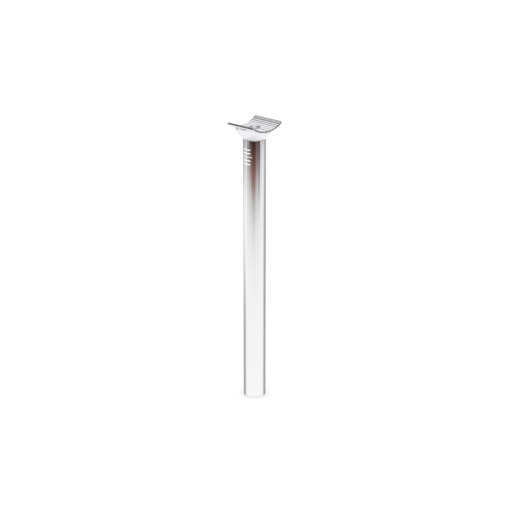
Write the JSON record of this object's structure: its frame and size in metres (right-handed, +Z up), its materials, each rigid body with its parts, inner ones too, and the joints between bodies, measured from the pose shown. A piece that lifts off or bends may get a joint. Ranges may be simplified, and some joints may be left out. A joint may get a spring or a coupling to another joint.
{
  "type": "bicycle seatpost",
  "caption": "Rigid straight bicycle seatpost: polished aluminium tube with a forged cradle head whose curved, cross-ridged plate and threaded insert take a centre-bolted saddle.",
  "frame": {"origin": "centre of the tube's lower end, where the post stands", "axes": "+Z up the post, +X the way the bicycle travels, +Y to the rider's left, along the axis that the saddle tilts about"},
  "size_m": [0.0462, 0.039, 0.32],
  "materials": {
    "polished_tube": "mirror-polished drawn tube with fine lengthwise buffing marks",
    "forged_head": "forged, tumbled and polished, brighter on the edges than in the ridges",
    "adhesive": "cured structural adhesive, matt",
    "plated_steel": "zinc-plated turned steel"
  },
  "bodies": {
    "root": {"post_tube": "polished_tube", "cradle_head": "forged_head", "bond_layer": "adhesive", "thread_insert": "plated_steel"}
  },
  "joints": []
}
